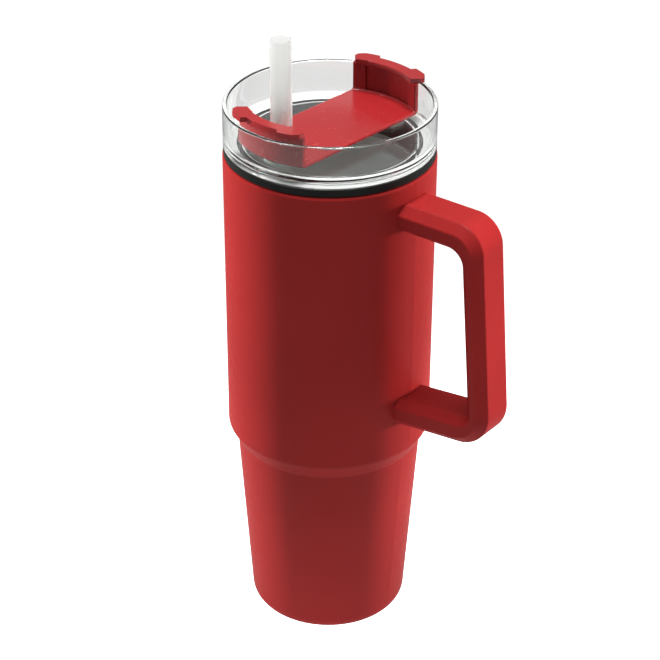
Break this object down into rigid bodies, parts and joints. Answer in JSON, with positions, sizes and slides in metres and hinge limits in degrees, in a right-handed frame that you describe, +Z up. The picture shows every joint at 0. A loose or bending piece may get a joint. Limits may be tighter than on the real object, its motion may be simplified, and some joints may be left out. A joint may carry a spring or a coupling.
{
  "type": "insulated travel mug",
  "caption": "Vacuum-insulated steel travel mug with tapered foot, side handle, clear push-in lid, turning cover strip and straw.",
  "frame": {"origin": "centre of the foot, on the surface that the mug stands on", "axes": "+Z up along the mug's axis, +X towards the handle, +Y towards the drinking slot, with the straw on -Y"},
  "size_m": [0.152, 0.1018, 0.3197],
  "materials": {
    "red_powder_coat": "satin powder coat",
    "brushed_steel": "brushed stainless steel",
    "plain_steel": "plain stainless sheet",
    "plated_steel": "bright plated",
    "solder_glass": "fused glass solder",
    "getter_metal": "sintered, matt",
    "red_moulding": "satin moulded",
    "red_gloss": "glossy moulded",
    "clear_plastic": "clear, polished",
    "black_silicone": "satin",
    "white_silicone": "satin, translucent",
    "straw_plastic": "translucent, smooth"
  },
  "bodies": {
    "mug": {"outer_shell": "red_powder_coat", "inner_liner": "brushed_steel", "vacuum_plate": "plain_steel", "seal_bead": "solder_glass", "getter": "getter_metal", "getter_clip": "plain_steel", "base_cap": "brushed_steel", "handle": "red_moulding", "upper_handle_boss": "plain_steel", "lower_handle_boss": "plain_steel", "handle_screws": "plated_steel", "screw_plugs": "red_moulding"},
    "lid": {"lid_body": "clear_plastic", "lid_gasket": "black_silicone", "straw_grommet": "white_silicone", "pivot_seal": "white_silicone"},
    "cover": {"turning_cover": "red_gloss", "slot_pad": "white_silicone", "pivot_retainer": "plain_steel"},
    "straw": {"straw": "straw_plastic"}
  },
  "joints": [
    {"name": "lid_lift", "type": "slide", "parent": "mug", "child": "lid", "axis": [0, 0, 1], "range_m": [0, 0.25]},
    {"name": "cover_turn", "type": "hinge", "parent": "lid", "child": "cover", "pos_m": [0, 0, 0.2643], "axis": [0, 0, 1], "range_deg": [0, 90]},
    {"name": "straw_pull", "type": "slide", "parent": "lid", "child": "straw", "axis": [0, 0, 1], "range_m": [0, 0.272]}
  ]
}
